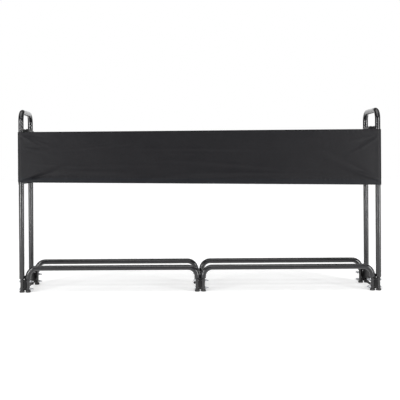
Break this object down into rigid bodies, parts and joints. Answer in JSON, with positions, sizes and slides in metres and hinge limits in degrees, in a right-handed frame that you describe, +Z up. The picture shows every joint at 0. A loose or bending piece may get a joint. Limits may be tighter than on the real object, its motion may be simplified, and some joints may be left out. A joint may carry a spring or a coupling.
{
  "type": "firewood log rack",
  "caption": "Long low outdoor rack of bent black tube with looped end frames, raised bottom rails and a sliding fabric cover with lifting flaps.",
  "frame": {"origin": "on the ground, at the centre of the rack's length and depth", "axes": "+X along the rack's length to its right end, +Y from front to back, +Z up"},
  "size_m": [2.4082, 0.3712, 1.215],
  "materials": {
    "powder_coat": "semi-gloss black powder coat",
    "bracket_coat": "satin black powder coat",
    "zinc_plate": "bright zinc plating",
    "cap_plastic": "matt black moulded plastic",
    "cover_fabric": "coated black polyester weave",
    "tab_fabric": "black hook-and-loop tape"
  },
  "bodies": {
    "frame": {"end_frame_left": "powder_coat", "end_frame_right": "powder_coat", "rail_front_left": "powder_coat", "rail_front_right": "powder_coat", "rail_back_left": "powder_coat", "rail_back_right": "powder_coat", "cross_posts_left": "bracket_coat", "cross_posts_centre": "bracket_coat", "cross_posts_right": "bracket_coat", "cross_panel_left": "bracket_coat", "cross_panel_centre": "bracket_coat", "cross_panel_right": "bracket_coat", "cross_tie_left": "bracket_coat", "cross_tie_centre": "bracket_coat", "cross_tie_right": "bracket_coat", "caps_front_left": "cap_plastic", "caps_front_centre": "cap_plastic", "caps_front_right": "cap_plastic", "caps_back_left": "cap_plastic", "caps_back_centre": "cap_plastic", "caps_back_right": "cap_plastic", "bolts_front_left": "zinc_plate", "bolts_front_centre": "zinc_plate", "bolts_front_right": "zinc_plate", "bolts_back_left": "zinc_plate", "bolts_back_centre": "zinc_plate", "bolts_back_right": "zinc_plate", "washers_front_left": "zinc_plate", "washers_front_centre": "zinc_plate", "washers_front_right": "zinc_plate", "washers_back_left": "zinc_plate", "washers_back_centre": "zinc_plate", "washers_back_right": "zinc_plate", "wing_nuts_front_left": "zinc_plate", "wing_nuts_front_centre": "zinc_plate", "wing_nuts_front_right": "zinc_plate", "wing_nuts_back_left": "zinc_plate", "wing_nuts_back_centre": "zinc_plate", "wing_nuts_back_right": "zinc_plate"},
    "cover": {"cover_top": "cover_fabric", "cover_end_left": "cover_fabric", "cover_end_right": "cover_fabric"},
    "front_flap": {"front_flap": "cover_fabric", "front_tabs": "tab_fabric"},
    "back_flap": {"back_flap": "cover_fabric", "back_tabs": "tab_fabric"}
  },
  "joints": [
    {"name": "cover_slide", "type": "slide", "parent": "frame", "child": "cover", "axis": [0, 0, 1], "range_m": [-0.5, 0.5]},
    {"name": "front_flap_lift", "type": "hinge", "parent": "cover", "child": "front_flap", "pos_m": [0, -0.18485, 1.06325], "axis": [-1, 0, 0], "range_deg": [0, 110]},
    {"name": "back_flap_lift", "type": "hinge", "parent": "cover", "child": "back_flap", "pos_m": [0, 0.18485, 1.06325], "axis": [1, 0, 0], "range_deg": [0, 110]}
  ]
}
